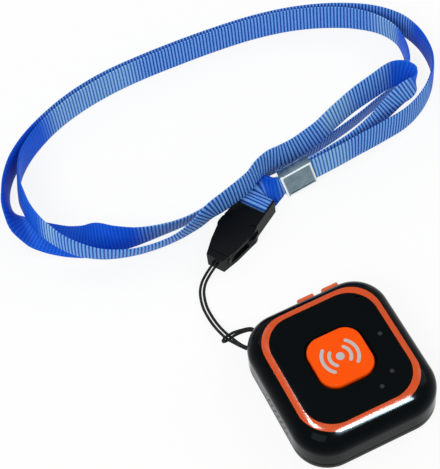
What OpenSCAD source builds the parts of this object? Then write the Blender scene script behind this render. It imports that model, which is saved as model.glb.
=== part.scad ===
// Personal tracker with a call button, hung on a cord, a release clip and a neck ribbon.
// Millimetres. The case lies on its back: +X to the port door, +Y to the side keys, +Z out of the face.
// The origin is the middle of the back's resting plane.

/* [Case] */
// Width of the case, across the face
case_w = 41; // [38:0.5:48]
// Height of the case, towards the side keys
case_h = 44; // [42:0.5:52]
// Depth of the case, back to face
case_d = 15; // [14.5:0.25:17]
// Radius of the four upright corners
corner_r = 10; // [9:0.25:10.5]
// Radius that rolls the walls over into the face
shoulder_r = 6; // [5:0.25:6.5]
// Radius of the edge round the back
back_edge_r = 2.6; // [1.8:0.1:2.8]
// Thickness of the case walls
wall = 1.6; // [1.4:0.05:1.7]
// Thickness of the back
floor_t = 1.4; // [1.2:0.1:1.6]
// Height of the parting line above the back
split_z = 4; // [3.5:0.1:4.4]
// Small bevel on both sides of the parting line
seam_cut = 0.2; // [0.1:0.05:0.3]

/* [Face] */
// Distance of the accent ring from the side of the case
ring_inset = 3.3; // [2.9:0.05:3.4]
// Width of the accent ring, seen from the front
ring_w = 1.7; // [1.4:0.1:2]
// Outer corner radius of the accent ring
ring_corner_r = 9.3; // [8.5:0.1:10]
// Depth of the accent ring in the case
ring_t = 0.7; // [0.5:0.05:0.9]
// Side of the square call button
button_w = 15.5; // [14:0.25:16.5]
// Corner radius of the call button
button_r = 4.7; // [4:0.1:5]
// Height of the call button above the face
button_proud = 0.3; // [0.1:0.05:0.6]
// Gap round the call button
button_gap = 0.2; // [0.15:0.05:0.3]
// Bevel round the opening for the call button
button_bevel = 0.6; // [0.4:0.05:0.8]
// Travel of the call button
button_travel = 0.4; // [0.3:0.05:0.5]
// Diameter of the light guides
guide_d = 1.2; // [0.9:0.1:1.4]
// Diameter of the microphone hole
mic_hole_d = 0.9; // [0.6:0.1:1.2]

/* [Side keys] */
// Length of a side key along the wall
key_w = 4.9; // [4.4:0.1:5.1]
// Height of a side key
key_h = 2.9; // [2.5:0.1:3]
// Distance that a side key stands out of the wall
key_proud = 0.7; // [0.5:0.1:1]
// Gap round a side key
key_gap = 0.15; // [0.1:0.05:0.2]
// Travel of a side key
key_travel = 0.25; // [0.15:0.05:0.3]

/* [Grille] */
// Diameter of a grille hole
grille_hole_d = 0.85; // [0.7:0.05:1]
// Pitch of the grille holes
grille_pitch = 1.8; // [1.6:0.1:2]
// Holes in one row of the grille
grille_holes = 7; // [5:1:7]

/* [Port door] */
// Length of the port door
door_l = 21; // [18:0.5:22]
// Height of the port door
door_h = 3.7; // [3.5:0.1:3.9]
// Thickness of the port door
door_t = 1.3; // [1.1:0.05:1.4]
// Distance that the port door stands out of the wall
door_proud = 0.3; // [0.2:0.05:0.4]

/* [Clip] */
// Length of the release clip
clip_l = 24.6; // [23.5:0.1:26]
// Thickness of the release clip
clip_t = 5.6; // [5.4:0.1:5.8]
// Thickness of the plates that cover the clip's prongs
clip_plate_t = 1.4; // [1.2:0.05:1.5]
// Side gap and end gap between the clip's plug and socket
clip_gap = 0.15; // [0.1:0.05:0.25]

/* [Ribbon and cord] */
// Width of the neck ribbon
ribbon_w = 10; // [9.6:0.1:10]
// Thickness of the ribbon
ribbon_t = 0.9; // [0.6:0.1:0.9]
// Width of the short ribbon tab
tab_w = 8.8; // [8:0.1:8.8]
// Diameter of the thin cord
cord_d = 0.8; // [0.6:0.05:0.8]
// Length of the metal crimp
crimp_l = 9.8; // [9:0.2:10]
// Sheet thickness of the metal crimp
crimp_t = 0.35; // [0.3:0.05:0.4]

/* [Hidden] */
$fn = 48;

// Overlap that makes two shapes of one solid join
bite = 0.2;
// Reach of a cut past the faces that it opens
past = 1;

// Case, worked out
half_w = case_w / 2;
half_h = case_h / 2;
inner_w = half_w - wall;
inner_h = half_h - wall;
ceiling_z = case_d - wall;
axis_x = half_w - corner_r;
axis_y = half_h - corner_r;

// Inside layout, from the back up
pad_t = 0.2;
pad_inset = 1.5;
pad_r = 0.8;
battery_r = 1.2;
board_rise = 3.6;
board_z = split_z + board_rise;
holder_size = [12, 12, 1.3];
battery_gap = 0.5;
battery_room = [16, 13];
battery_size = [case_w - battery_room.x, case_h - battery_room.y,
                board_z - holder_size.z - battery_gap - floor_t - pad_t];
board_t = 1;
board_top = board_z + board_t;
board_gap = 1.2;
board_half = [inner_w - board_gap, inner_h - 1.9];

// Screws in the four corners; the one beside the lanyard eye stands further in
screw_inset = [5.6, 5.3];
eye_screw_inset = [12, 4.2];
screw_spots = [
    [-half_w + eye_screw_inset.x, half_h - eye_screw_inset.y],
    [half_w - screw_inset.x, half_h - screw_inset.y],
    [-half_w + screw_inset.x, -half_h + screw_inset.y],
    [half_w - screw_inset.x, -half_h + screw_inset.y]
];
post_r = 1.7;
screw_r = 0.8;
screw_fit = 0.05;
screw_head_r = 1.5;
screw_head_t = 0.9;
screw_head_seat = 1;
screw_slot = 0.4;
screw_tip_gap = 0.8;
screw_reach = ceiling_z - board_top - screw_tip_gap;

// Lanyard eye: a channel behind a post in one corner
eye_inset = [4, 2.5];
eye_spot = [-half_w + eye_inset.x, half_h - eye_inset.y];
eye_z = 7;
eye_ring_r = 2.8;
eye_gap_w = 1.4;
eye_gap_h = 2.2;
eye_boss_r = 4.8;
eye_boss_h = 5.6;
eye_boss_low = split_z;

// Call button and its switch
flange_t = 0.8;
flange_w = 1.5;
flange_gap = 0.2;
button_top = case_d + button_proud;
button_edge_r = 0.5;
button_flange_top = ceiling_z - flange_gap;
button_low = button_flange_top - flange_t;
switch_w = 6;
switch_top_gap = 0.7;
switch_top = button_low - switch_top_gap;
stem_r = 1.5;
stem_fit = 0.1;
stem_in_switch = 0.5;

// Lights on the face, measured from the right and lower walls
light_insets = [[8.1, 23.2], [10.7, 12.1], [15.1, 9.4]];
light_spots = [for (p = light_insets) [half_w - p.x, p.y - half_h]];
light_chip = [1.4, 1, 0.6];
guide_fit = 0.05;

// Microphone behind the face, measured from the right and upper walls
mic_inset = [8, 8.1];
mic_spot = [half_w - mic_inset.x, half_h - mic_inset.y];
mic_r = 1;
mic_h = 1.2;
boot_t = 0.35;
boot_lip = 0.4;

// Height at which the walls turn into the round shoulder
shoulder_z = case_d - shoulder_r;

// Side keys, measured from the right wall
key_insets = [19.3, 11.95];
key_spots = [for (inset = key_insets) half_w - inset];
key_rise = 0.5;
key_z = shoulder_z + key_rise;
key_flange = [5.6, 0.6, 3.7];
key_flange_y = inner_h - 0.85;
key_edge_r = 0.5;
side_switch = [5, 3, 2];
side_switch_gap = 0.55;
side_switch_y = key_flange_y - key_flange.y - side_switch_gap;
side_stem_r = 0.7;
side_stem_fit = 0.08;
side_stem_in = 0.4;

// Grille and loudspeaker
grille_y = -3;
grille_rise = 2.5;
grille_z = split_z + grille_rise;
grille_row = 1.4;
speaker_z = floor_t + 1;
speaker_rise = 0.8;
speaker_size = [3, 13, shoulder_z + speaker_rise - speaker_z];
mesh_t = 0.2;
mesh_margin = 0.4;
mesh_h = shoulder_z - split_z - 2 * mesh_margin;
speaker_notch_gap = 0.7;

// Port door, its hinge bead and the socket behind it
door_inset = 13.4;
door_hinge_y = door_inset - half_h;
door_z = split_z + 0.9;
door_gap = 0.15;
bead_r = 0.6;
bead_x = half_w - 0.3;
usb_inset = 13.8;
usb_y = half_h - usb_inset;
usb_size = [5.7, 7.5, 2.6];
usb_nose = 0.1;
usb_gap = 0.2;
usb_shell_t = 0.35;
usb_depth = 4.4;

// Clip: its axis, and its half widths at given distances from the cord end
clip_spot = [-14, 48.9];
clip_turn = 33;
clip_base_l = 2;
clip_end_half = 2.7;
clip_neck = [5, 4.2];
clip_wide = [12.3, 5.6];
clip_waist = [15.4, 5.1];
clip_far_half = 5.2;
clip_slot_end = 15;
clip_prong_half = 3.5;
clip_prong_l = 12.4;
clip_slit_half = 0.8;
clip_slit_start = 6;
clip_bump_r = 2.5;
clip_bump_spot = [12.2, 3.8];
clip_dimple_spot = [13.65, 4.3];
clip_dimple_r = 1.1;
clip_dimple_t = 0.3;
clip_bar_w = 2.6;
clip_ribbon_gap = 2.5;
clip_ribbon_half = 4.6;
clip_bar_cut = 1.6;
cord_hole_depth = 1.2;
cord_fit = 0.05;
cord_side = 0.55;
mouth_lead_l = 1.8;

// Crimp
crimp_spot = [18.8, 61.9, 6.5];
crimp_turn = -1.15;
crimp_pitch = 10.98;
crimp_out = [3, 10.8];
crimp_panel_t = 0.15;
crimp_rim = 0.9;
crimp_lip_l = 0.8;
crimp_lip = 0.25;

// Lanyard pieces keep their place beside the case's eye when the case changes size
nominal_w = 41;
nominal_h = 44;
lanyard_shift = [-(case_w - nominal_w) / 2, (case_h - nominal_h) / 2, 0];

// Route of the neck ribbon: x, y, height of its middle, lean of its top edge to the left of travel.
// The strap rolls over where it slips under itself, so its leans carry half a turn from there on.
ribbon_route = [
    [18.8, 61.4, 6.5, 0], [23.8, 61.3, 7.47, 0], [31.3, 61.3, 8.3, 0], [38.2, 61.8, 8.6, 0],
    [47, 62.9, 8.1, 0], [56.6, 64.8, 7.4, 0], [63.8, 68.3, 7.1, 0], [69.5, 73.2, 6.9, 0],
    [73.3, 79, 6.3, 0], [75, 85.7, 5.8, 0], [75.1, 92.3, 5.3, 0], [73.2, 98.8, 5.1, 0],
    [68.5, 105, 5.05, 0], [62, 110, 5.05, 0], [53, 114.8, 5.05, 0], [43, 118.4, 5.05, 0],
    [32, 120.8, 5.05, 0], [20, 122.2, 5.05, 0], [8, 123, 5.05, 0], [-4, 123.3, 5.05, 0],
    [-16, 122.9, 5.05, 0], [-27, 121, 5.05, 0], [-37, 117.6, 5.05, 0], [-46, 113, 5.05, 0],
    [-52.6, 107.8, 5.05, 0], [-57, 102, 5.05, 0], [-59.2, 96.4, 5.05, -6], [-59.6, 91.8, 4.8, -24],
    [-58.4, 87.6, 3.2, -56], [-55.6, 84, 1.5, -82], [-52.4, 80.6, 1.2, -92], [-48.6, 77.2, 1.4, -97],
    [-44.6, 74.3, 2.2, -108], [-40.4, 71.5, 4, -136], [-35.9, 68.6, 5, -163], [-30.5, 66.5, 5.05, -182],
    [-24, 65.2, 5, -194], [-17, 64.5, 4.95, -200], [-11, 64.8, 4.95, -200], [-4, 66.1, 4.95, -198],
    [3.5, 68, 5, -196], [10, 68.9, 5, -194], [16, 69, 5, -194], [22, 69.1, 5, -194],
    [28, 69.5, 5, -194], [33.3, 70.2, 5, -196], [39, 71.4, 5, -196], [45, 72.9, 5, -196],
    [51, 74.8, 5, -196], [57, 76.5, 5, -196], [62, 78.4, 5, -192], [65.8, 81.3, 5.05, -188],
    [68.2, 85.3, 5.05, -184], [69.8, 90.3, 5.05, -178], [69.9, 96, 5.05, -174], [67.4, 101.8, 5.05, -174],
    [62, 107.6, 5.05, -178], [56, 111.6, 5.05, -180], [49, 115, 5.05, -180], [41, 117.7, 5.05, -180],
    [31, 119.8, 5.05, -180], [20, 121, 5.05, -180], [8, 121.7, 5.05, -180], [-4, 122, 5.05, -180],
    [-15, 121.5, 5.05, -180], [-26, 119.7, 5.05, -180], [-36, 116.5, 5.05, -180], [-44, 112.2, 5.05, -180],
    [-49.5, 107.6, 5.1, -178], [-53, 102, 5.8, -172], [-54.6, 96.6, 6.9, -168], [-55.1, 91.4, 8.3, -168],
    [-55.1, 86.2, 9, -170], [-54.2, 81.2, 9, -173], [-52.4, 76.5, 8.7, -177], [-49.9, 72, 8.1, -182],
    [-46.2, 68, 7.2, -188], [-41.2, 64.6, 6.2, -196], [-34.6, 62.2, 5.3, -202], [-27.5, 60.9, 4.95, -204],
    [-20, 60.4, 5.5, -202], [-14, 60.4, 7.6, -194], [-9, 60.8, 10.2, -186], [-4, 61.3, 11.4, -182],
    [3.8, 63, 12.5, -180], [8, 65, 13.3, -180], [12, 66.3, 13.4, -180], [16, 66.4, 13.3, -179],
    [20, 66.2, 13.8, -178], [24, 66.3, 14.8, -177], [28.5, 66.6, 16.2, -176], [33.5, 67.7, 17.9, -175],
    [41.1, 69.6, 19.2, -174], [48.2, 70.9, 19.8, -172], [55, 72.1, 19.9, -170], [58.4, 71.2, 19.6, -171],
    [60.4, 69.2, 19, -174], [60.4, 67.6, 18.6, -178], [58.6, 66.8, 17.8, -180], [55, 66.6, 16.3, -180],
    [50.2, 65.9, 13.8, -180], [44, 64.4, 11.3, -180], [37, 63.1, 9.5, -180], [30, 62.5, 8.5, -180],
    [23.8, 62.3, 7.47, -180], [18.8, 62.4, 6.5, -180]
];
// Place in the route where the outer turn passes into the inner turn
ribbon_joint = 52;

// Route of the tab's loop through the clip: x, y, height of its middle, turn of its width off upright
tab_route = [
    [18.3, 61.41, 6.4, 0], [13.4, 61.51, 5.45, 0], [11.7, 61.7, 5.3, 28], [10, 62.6, 5.1, 64],
    [7.8, 62.9, 4.8, 91], [5.6, 61.6, 4.6, 90], [3.9, 60.5, 4.5, 90], [3.3, 60.1, 2.8, 90],
    [3.9, 60.5, 1.1, 90], [5.6, 61.6, 1, 90], [7.6, 62.9, 0.95, 90], [9.8, 63.6, 2.5, 64],
    [11.8, 63.2, 4.5, 30], [13.4, 62.51, 5.45, 0], [18.3, 62.41, 6.4, 0]
];

// Middle line of the doubled cord, from the clip to the hitch
cord_pair = [
    [-14, 48.9, 2.8], [-15.2, 48.1, 2.7], [-17.2, 47.2, 1.7], [-19.2, 45.9, 0.8], [-20.7, 44, 0.5],
    [-21.7, 41.6, 0.5], [-22.4, 38.4, 0.5], [-22.5, 34.8, 0.7], [-22.3, 31.4, 1.3], [-21.9, 28.2, 2.3],
    [-21.3, 25.2, 3.4]
];
// Bight of the hitch, over and under the pair
cord_bight = [
    [-17.4, 24.4, 5.6], [-19.6, 25.3, 4.6], [-20.6, 25.3, 4.5], [-22, 25.1, 4.5], [-22.9, 24.9, 4],
    [-23.1, 24.9, 3.4], [-22.9, 24.9, 2.8], [-22, 25.1, 2.3], [-20.6, 25.3, 2.3], [-19.6, 25.3, 2.8],
    [-17.4, 24.4, 4.4]
];
// Layers of the cord in the eye, above and below the middle of the channel
cord_layer = 0.5;
// Heading of the eye's mouths, and the steps of the cord round the post
eye_turn = 37.7;
eye_steps = 6;
cord_sides = 8;

// Vector helpers
function unit(v) = v / norm(v);
function flat_left(v) = unit([-v.y, v.x, 0]);
function tangent(pts, i) = unit(pts[min(i + 1, len(pts) - 1)] - pts[max(i - 1, 0)]);
function place(p) = [p.x, p.y, p.z];

// Filled quarter of a disc in the first quadrant
module quarter_disc(r) {
    intersection() {
        circle(r);
        square(r);
    }
}

// Half section of a case shell: radius r, from z0 to z1, with rounded upper and lower edges
module shell_section(r, z0, z1, upper_r, lower_r) {
    translate([0, z0 + lower_r]) square([r, z1 - z0 - upper_r - lower_r]);
    if (upper_r > 0) {
        translate([0, z1 - upper_r]) square([r - upper_r, upper_r]);
        translate([r - upper_r, z1 - upper_r]) quarter_disc(upper_r);
    }
    if (lower_r > 0) {
        translate([0, z0]) square([r - lower_r, lower_r]);
        translate([r - lower_r, z0 + lower_r]) mirror([0, 1]) quarter_disc(lower_r);
    }
}

// Pad with rounded corners at (cx, cy) and the child as its section, solid from z0 to z1 in the middle
module rounded_pad(cx, cy, z0, z1) {
    for (mx = [0, 1], my = [0, 1])
        mirror([mx, 0, 0]) mirror([0, my, 0]) translate([cx, cy, 0]) rotate_extrude(angle = 90) children(0);
    for (mx = [0, 1])
        mirror([mx, 0, 0]) translate([cx, cy, 0]) rotate([90, 0, 0]) linear_extrude(2 * cy) children(0);
    for (my = [0, 1])
        mirror([0, my, 0]) translate([-cx, cy, 0]) rotate([90, 0, 90]) linear_extrude(2 * cx) children(0);
    translate([-cx, -cy, z0]) cube([2 * cx, 2 * cy, z1 - z0]);
}

// Rectangle with rounded corners, centred
module rounded_rect(w, h, r) {
    square([w - 2 * r, h], center = true);
    square([w, h - 2 * r], center = true);
    for (sx = [-1, 1], sy = [-1, 1])
        translate([sx * (w / 2 - r), sy * (h / 2 - r)]) circle(r);
}

// Upright plate with rounded corners
module rounded_plate(w, h, r, z0, z1) {
    translate([0, 0, z0]) linear_extrude(z1 - z0) rounded_rect(w, h, r);
}

// Cylinder with its axis along Y, from y0 to y1
module bar_y(x, z, r, y0, y1) {
    translate([x, y1, z]) rotate([90, 0, 0]) cylinder(h = y1 - y0, r = r);
}

// Outside of the front half, moved in by the given inset
module front_form(inset) {
    rounded_pad(axis_x, axis_y, split_z, case_d - inset)
        shell_section(corner_r - inset, split_z, case_d - inset, shoulder_r - inset, 0);
}

// Seam bevel, taken off the outside at the parting plane
module seam_bevel(side) {
    rounded_pad_ring()
        polygon([[corner_r - seam_cut, split_z], [corner_r + past, split_z],
                 [corner_r + past, split_z + side * seam_cut], [corner_r, split_z + side * seam_cut]]);
}

// The child section carried round the case, without a middle
module rounded_pad_ring() {
    for (mx = [0, 1], my = [0, 1])
        mirror([mx, 0, 0]) mirror([0, my, 0]) translate([axis_x, axis_y, 0])
            rotate_extrude(angle = 90) children(0);
    for (mx = [0, 1])
        mirror([mx, 0, 0]) translate([axis_x, axis_y, 0]) rotate([90, 0, 0])
            linear_extrude(2 * axis_y) children(0);
    for (my = [0, 1])
        mirror([0, my, 0]) translate([-axis_x, axis_y, 0]) rotate([90, 0, 90])
            linear_extrude(2 * axis_x) children(0);
}

// Upright tube on the plan of the accent ring, wider than the ring by a margin on each side
module ring_plan(margin) {
    outer_w = case_w - 2 * ring_inset + 2 * margin;
    outer_h = case_h - 2 * ring_inset + 2 * margin;
    inner_ring_r = ring_corner_r - ring_w / 2;
    translate([0, 0, split_z]) linear_extrude(case_d)
        difference() {
            rounded_rect(outer_w, outer_h, ring_corner_r + margin);
            rounded_rect(outer_w - 2 * ring_w - 4 * margin, outer_h - 2 * ring_w - 4 * margin,
                         inner_ring_r - margin);
        }
}

// Band of the case's skin under the accent ring, as deep as the ring
module ring_band(margin) {
    intersection() {
        difference() {
            front_form(-margin);
            front_form(ring_t);
        }
        ring_plan(0);
    }
}

// Channel of the lanyard eye
module eye_channel() {
    translate([eye_spot.x, eye_spot.y, eye_z]) rotate_extrude()
        translate([eye_ring_r, 0]) square([eye_gap_w, eye_gap_h], center = true);
}

// Opening for the call button, with a bevelled rim
module button_opening() {
    opening = button_w + 2 * button_gap;
    opening_r = button_r + button_gap;
    opening_axis = opening / 2 - opening_r;
    rounded_pad(opening_axis, opening_axis, ceiling_z - past, case_d + past)
        polygon([[0, ceiling_z - past], [opening_r, ceiling_z - past], [opening_r, case_d - button_bevel],
                 [opening_r + button_bevel, case_d], [opening_r + button_bevel, case_d + past],
                 [0, case_d + past]]);
}

// Openings for the side keys
module key_openings() {
    for (x = key_spots)
        translate([x, half_h + past, key_z]) rotate([90, 0, 0])
            linear_extrude(half_h + past - key_flange_y)
                rounded_rect(key_w + 2 * key_gap, key_h + 2 * key_gap, key_edge_r + key_gap);
}

// Grille: two staggered rows of holes through the wall
module grille() {
    for (row = [0, 1], i = [0 : grille_holes - 1])
        translate([-half_w - past, grille_y + (i - (grille_holes - 1) / 2 + (row - 0.5) / 2) * grille_pitch,
                   grille_z + (row - 0.5) * grille_row])
            rotate([0, 90, 0]) cylinder(h = wall + 2 * past, d = grille_hole_d, $fn = 16);
}

// Recess of the port door, its hinge socket and the charging opening
module door_recess() {
    recess_x = half_w + door_proud - door_t - door_gap;
    translate([recess_x, door_hinge_y, door_z - door_gap])
        cube([wall + past, door_l + door_gap, door_h + 2 * door_gap]);
    translate([bead_x, door_hinge_y, door_z - door_gap])
        cylinder(h = door_h + 2 * door_gap, r = bead_r + 2 * door_gap);
    translate([inner_w - past, usb_y - usb_size.y / 2 - usb_gap, board_z - usb_size.z - usb_gap])
        cube([wall + past, usb_size.y + 2 * usb_gap, usb_size.z + 2 * usb_gap]);
}

module front_shell() {
    color("#15171a") difference() {
        union() {
            difference() {
                front_form(0);
                translate([0, 0, -bite]) rounded_pad(axis_x, axis_y, split_z, ceiling_z + bite)
                    shell_section(corner_r - wall, split_z, ceiling_z + bite, shoulder_r - wall, 0);
            }
            intersection() {
                front_form(0);
                union() {
                    for (p = screw_spots)
                        translate([p.x, p.y, board_top]) cylinder(h = case_d - board_top, r = post_r);
                    translate([eye_spot.x, eye_spot.y, eye_boss_low])
                        cylinder(h = eye_boss_h, r = eye_boss_r);
                }
            }
        }
        seam_bevel(1);
        ring_band(past);
        button_opening();
        key_openings();
        grille();
        door_recess();
        eye_channel();
        for (p = light_spots)
            translate([p.x, p.y, ceiling_z - past])
                cylinder(h = wall + 2 * past, d = guide_d + 2 * guide_fit);
        translate([mic_spot.x, mic_spot.y, ceiling_z - past]) cylinder(h = wall + 2 * past, d = mic_hole_d);
        for (p = screw_spots)
            translate([p.x, p.y, board_top - past]) cylinder(h = screw_reach + past, r = screw_r + screw_fit);
    }
}

module rear_shell() {
    color("#15171a") difference() {
        union() {
            difference() {
                rounded_pad(axis_x, axis_y, 0, split_z)
                    shell_section(corner_r, 0, split_z, 0, back_edge_r);
                rounded_pad(axis_x, axis_y, floor_t, split_z + past)
                    shell_section(corner_r - wall, floor_t, split_z + past, 0, floor_t);
            }
            intersection() {
                for (p = screw_spots)
                    translate([p.x, p.y, floor_t / 2]) cylinder(h = board_z - floor_t / 2, r = post_r);
                rounded_plate(2 * inner_w, 2 * inner_h, corner_r - wall, 0, board_z);
            }
        }
        seam_bevel(-1);
        seal_groove();
        for (p = screw_spots) {
            translate([p.x, p.y, -past]) cylinder(h = board_z + 2 * past, r = screw_r + 2 * screw_fit);
            translate([p.x, p.y, -past])
                cylinder(h = screw_head_seat + past, r = screw_head_r + 2 * screw_fit);
        }
    }
}

// Seal, half way through the wall at the parting plane
seal_w = 0.7;
seal_h = 0.5;
seal_fit = 0.05;

module seal_form(margin, z1) {
    outer_inset = (wall - seal_w) / 2 - margin;
    inner_inset = (wall + seal_w) / 2 + margin;
    translate([0, 0, split_z - seal_h - margin]) linear_extrude(z1 - split_z + seal_h + margin)
        difference() {
            rounded_rect(case_w - 2 * outer_inset, case_h - 2 * outer_inset, corner_r - outer_inset);
            rounded_rect(case_w - 2 * inner_inset, case_h - 2 * inner_inset, corner_r - inner_inset);
        }
}

module seal_groove() {
    seal_form(seal_fit, split_z + past);
}

module case_seal() {
    color("#3a3d40") seal_form(0, split_z);
}

module accent_ring() {
    color("#e25a28") ring_band(0);
}

module alarm_button() {
    color("#ff5a00") {
        button_axis = button_w / 2 - button_r;
        rounded_pad(button_axis, button_axis, button_low, button_top)
            shell_section(button_r, button_low, button_top, button_edge_r, 0);
        rounded_plate(button_w + flange_w, button_w + flange_w, button_r + flange_w / 2,
                      button_low, button_flange_top);
    }
}

module alarm_switch() {
    color("#2c2f33") difference() {
        translate([-switch_w / 2, -switch_w / 2, board_top])
            cube([switch_w, switch_w, switch_top - board_top]);
        translate([0, 0, switch_top - stem_in_switch - button_travel - stem_fit])
            cylinder(h = switch_w, r = stem_r + stem_fit);
    }
}

module alarm_switch_stem() {
    color("#8a2a12") translate([0, 0, switch_top - stem_in_switch])
        cylinder(h = button_low - switch_top + stem_in_switch, r = stem_r);
}

// Side key: a rounded bar with a flange that keeps it in the wall
module side_key(x) {
    translate([x, half_h + key_proud, key_z]) rotate([90, 0, 0])
        linear_extrude(half_h + key_proud - key_flange_y) rounded_rect(key_w, key_h, key_edge_r);
    translate([x - key_flange.x / 2, key_flange_y - key_flange.y, key_z - key_flange.z / 2]) cube(key_flange);
}

module power_key() {
    color("#f06a1e") side_key(key_spots[0]);
}

module call_key() {
    color("#f06a1e") side_key(key_spots[1]);
}

// Side switch on the board, with a hole for its plunger
module side_switch_body(x) {
    difference() {
        translate([x - side_switch.x / 2, side_switch_y - side_switch.y, board_top]) cube(side_switch);
        bar_y(x, board_top + side_switch.z / 2, side_stem_r + side_stem_fit,
              side_switch_y - side_stem_in - key_travel - side_stem_fit, side_switch_y + past);
    }
}

module power_switch() {
    color("#2c2f33") side_switch_body(key_spots[0]);
}

module call_switch() {
    color("#2c2f33") side_switch_body(key_spots[1]);
}

module side_stem(x) {
    bar_y(x, board_top + side_switch.z / 2, side_stem_r,
          side_switch_y - side_stem_in, key_flange_y - key_flange.y);
}

module power_switch_stem() {
    color("#d9d4c8") side_stem(key_spots[0]);
}

module call_switch_stem() {
    color("#d9d4c8") side_stem(key_spots[1]);
}

// Light guide from its chip on the board to the face
module light_guide(spot) {
    translate([spot.x, spot.y, board_top + light_chip.z])
        cylinder(h = case_d - board_top - light_chip.z, d = guide_d);
}

module light_guide_a() {
    color("#cfd6da") light_guide(light_spots[0]);
}

module light_guide_b() {
    color("#cfd6da") light_guide(light_spots[1]);
}

module light_guide_c() {
    color("#cfd6da") light_guide(light_spots[2]);
}

module status_leds() {
    color("#efe9c8") for (p = light_spots)
        translate([p.x - light_chip.x / 2, p.y - light_chip.y / 2, board_top]) cube(light_chip);
}

module main_board() {
    color("#1d5a38") difference() {
        rounded_plate(2 * board_half.x, 2 * board_half.y, corner_r - wall - board_gap, board_z, board_top);
        translate([eye_spot.x, eye_spot.y, board_z - past])
            cylinder(h = board_t + 2 * past, r = eye_boss_r + screw_fit * 4);
        translate([-half_w, grille_y - speaker_size.y / 2 - speaker_notch_gap, board_z - past])
            cube([half_w - speaker_inner_x() + speaker_notch_gap, speaker_size.y + 2 * speaker_notch_gap,
                  board_t + 2 * past]);
        for (p = screw_spots)
            translate([p.x, p.y, board_z - past])
                cylinder(h = board_t + 2 * past, r = screw_r + 2 * screw_fit);
    }
}

// Distance of the loudspeaker's inner face from the middle of the case
function speaker_inner_x() = inner_w - mesh_t - speaker_size.x;

// Room for chips between the board and the pressed call button
chip_gap = 0.3;
chip_room = button_low - button_travel - chip_gap - board_top;

// Ceramic patch, cut short of the call button's flange
patch_size = [10, 10, min(2.8, chip_room - bite)];
patch_inset = [6, 17.4];
patch_spot = [patch_inset.x - half_w, half_h - patch_inset.y];
patch_margin = 1;

module position_antenna() {
    color("#b9a98c") translate([patch_spot.x, patch_spot.y, board_top]) cube(patch_size);
    color("#c9ccd0")
        translate([patch_spot.x + patch_margin, patch_spot.y + patch_margin, board_top + patch_size.z - bite])
            cube([patch_size.x - 2 * patch_margin, patch_size.y - 2 * patch_margin, 2 * bite]);
}

radio_size = [10.2, 10.4, min(2.4, chip_room)];
radio_inset = [6.9, 7.2];
radio_spot = [radio_inset.x - half_w, radio_inset.y - half_h];

module radio_module() {
    color("#c4c8cc") translate([radio_spot.x, radio_spot.y, board_top]) cube(radio_size);
}

strip_rise = 1;
strip_size = [20, 0.3, shoulder_z - split_z - strip_rise];

module cell_antenna() {
    color("#b5793a") translate([-strip_size.x / 2, -inner_h, split_z + strip_rise]) cube(strip_size);
}

module battery() {
    color("#8f959b") translate([0, 0, floor_t + pad_t])
        linear_extrude(battery_size.z) rounded_rect(battery_size.x, battery_size.y, battery_r);
}

module battery_pad() {
    color("#d8d2c4") translate([0, 0, floor_t])
        linear_extrude(pad_t)
            rounded_rect(battery_size.x - 2 * pad_inset, battery_size.y - 2 * pad_inset, pad_r);
}

module speaker() {
    color("#1f2225") translate([-inner_w + mesh_t, grille_y - speaker_size.y / 2, speaker_z])
        cube(speaker_size);
}

module speaker_mesh() {
    color("#53575b") translate([-inner_w, grille_y - speaker_size.y / 2, split_z + mesh_margin])
        cube([mesh_t, speaker_size.y, mesh_h]);
}

module microphone() {
    color("#c9c3b4") translate([mic_spot.x, mic_spot.y, ceiling_z - boot_lip - mic_h])
        cylinder(h = mic_h, r = mic_r);
}

module microphone_boot() {
    color("#2a2a2a") translate([mic_spot.x, mic_spot.y, ceiling_z - boot_lip - mic_h]) difference() {
        cylinder(h = mic_h + boot_lip, r = mic_r + boot_t);
        translate([0, 0, -past]) cylinder(h = mic_h + past, r = mic_r);
        translate([0, 0, -past]) cylinder(h = mic_h + boot_lip + 2 * past, d = mic_hole_d);
    }
}

module usb_socket() {
    nose_x = half_w + door_proud - door_t - door_gap - usb_nose;
    usb_corner = [nose_x - usb_size.x, usb_y - usb_size.y / 2, board_z - usb_size.z];
    color("#b8bcc2") translate(usb_corner) difference() {
        cube(usb_size);
        translate([usb_size.x - usb_depth, usb_shell_t, usb_shell_t])
            cube([usb_depth + past, usb_size.y - 2 * usb_shell_t, usb_size.z - 2 * usb_shell_t]);
    }
}

// Card holder, halfway between the socket and the lower screws, whichever height the case has
holder_inset = 17;
holder_y = -11;
holder_spot = [half_w - holder_inset, holder_y];

module card_holder() {
    color("#aeb3b9") translate([holder_spot.x, holder_spot.y, board_z - holder_size.z]) cube(holder_size);
}

module port_door() {
    door_x = half_w + door_proud - door_t;
    door_r = 0.6;
    color("#101214") {
        translate([door_x, door_hinge_y, door_z]) cube([door_t, door_l - door_r, door_h]);
        translate([door_x, door_hinge_y + door_l - 2 * door_r, door_z])
            cube([door_t - door_r, 2 * door_r, door_h]);
        translate([door_x + door_t - door_r, door_hinge_y + door_l - door_r, door_z])
            cylinder(h = door_h, r = door_r);
        translate([bead_x, door_hinge_y, door_z]) cylinder(h = door_h, r = bead_r);
    }
}

module case_screws() {
    color("#9aa0a6") for (p = screw_spots) {
        translate([p.x, p.y, screw_head_seat - screw_head_t]) difference() {
            cylinder(h = screw_head_t, r = screw_head_r);
            for (turn = [0, 90])
                rotate([0, 0, turn]) cube([2 * screw_r, screw_slot, 2 * screw_head_t / 3], center = true);
        }
        translate([p.x, p.y, screw_head_seat - bite])
            cylinder(h = board_top + screw_reach - screw_head_seat, r = screw_r);
    }
}

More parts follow.
